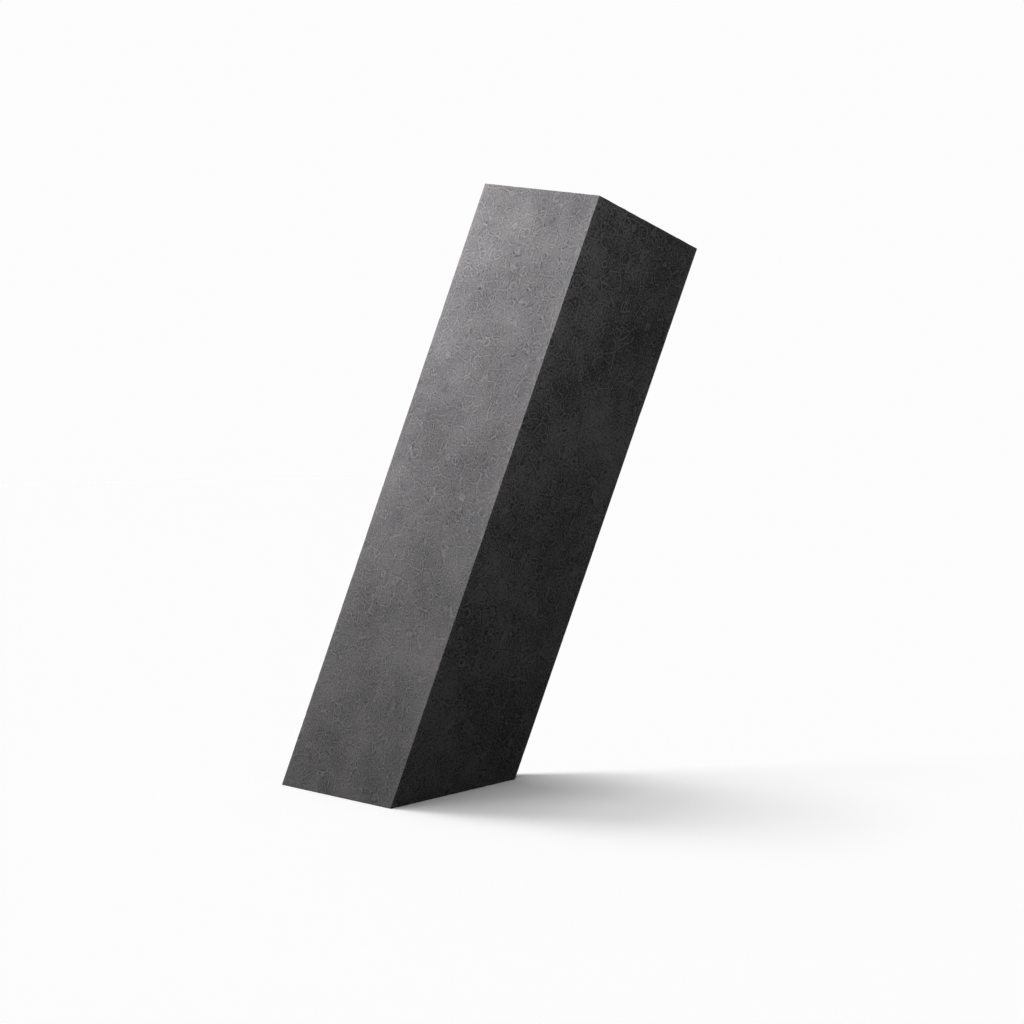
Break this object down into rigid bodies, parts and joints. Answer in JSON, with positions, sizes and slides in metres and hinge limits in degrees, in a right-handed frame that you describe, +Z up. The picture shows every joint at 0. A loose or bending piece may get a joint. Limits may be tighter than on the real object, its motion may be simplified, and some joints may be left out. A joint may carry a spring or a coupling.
{
  "type": "charcoal stick",
  "caption": "Square-section stick of pressed charcoal with crisp corners, a slanted drawing end that it stands on and a nearly square sawn end.",
  "frame": {"origin": "middle of the flat face of the slanted drawing end, which the stick stands on", "axes": "+Z up from the surface it stands on; the stick leans 20 degrees from +Z towards +X, over one of its corners; the XZ plane is its plane of symmetry"},
  "size_m": [0.052, 0.0268, 0.0727],
  "materials": {
    "charcoal": "matte, fine-grained, dusty"
  },
  "bodies": {
    "root": {"charcoal_bar": "charcoal"}
  },
  "joints": []
}
